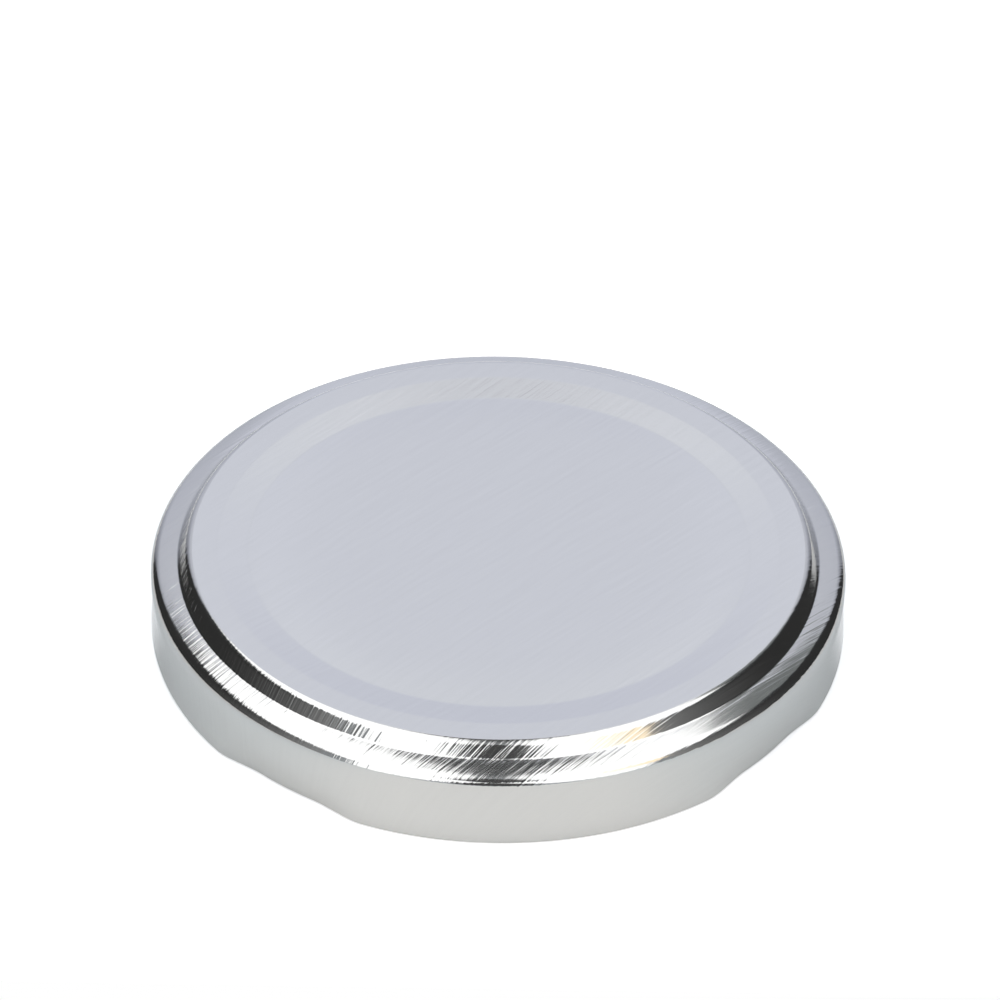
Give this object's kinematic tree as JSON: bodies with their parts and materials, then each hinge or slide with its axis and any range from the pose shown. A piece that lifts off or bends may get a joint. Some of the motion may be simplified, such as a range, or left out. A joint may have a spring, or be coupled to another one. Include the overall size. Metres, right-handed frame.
{
  "type": "twist-off jar lid",
  "caption": "Pressed metal twist-off jar lid: recessed panel, raised ring, stepped shoulder, skirt, rolled rim pressed into inward lugs, and a sealing ring inside.",
  "frame": {"origin": "on the lid's axis, at the level that the rolled rim rests on", "axes": "+Z along the lid's axis, from the open rim to the panel; the lugs stand at -37.5, 52.5, 142.5 and 232.5 degrees from +X about +Z"},
  "size_m": [0.0694, 0.0694, 0.0101],
  "materials": {
    "tinplate": "bright rolled tinplate under clear lacquer, with fine rolling lines",
    "sealing_compound": "soft satin compound, pale cream"
  },
  "bodies": {
    "root": {"lid_shell": "tinplate", "sealing_ring": "sealing_compound"}
  },
  "joints": []
}
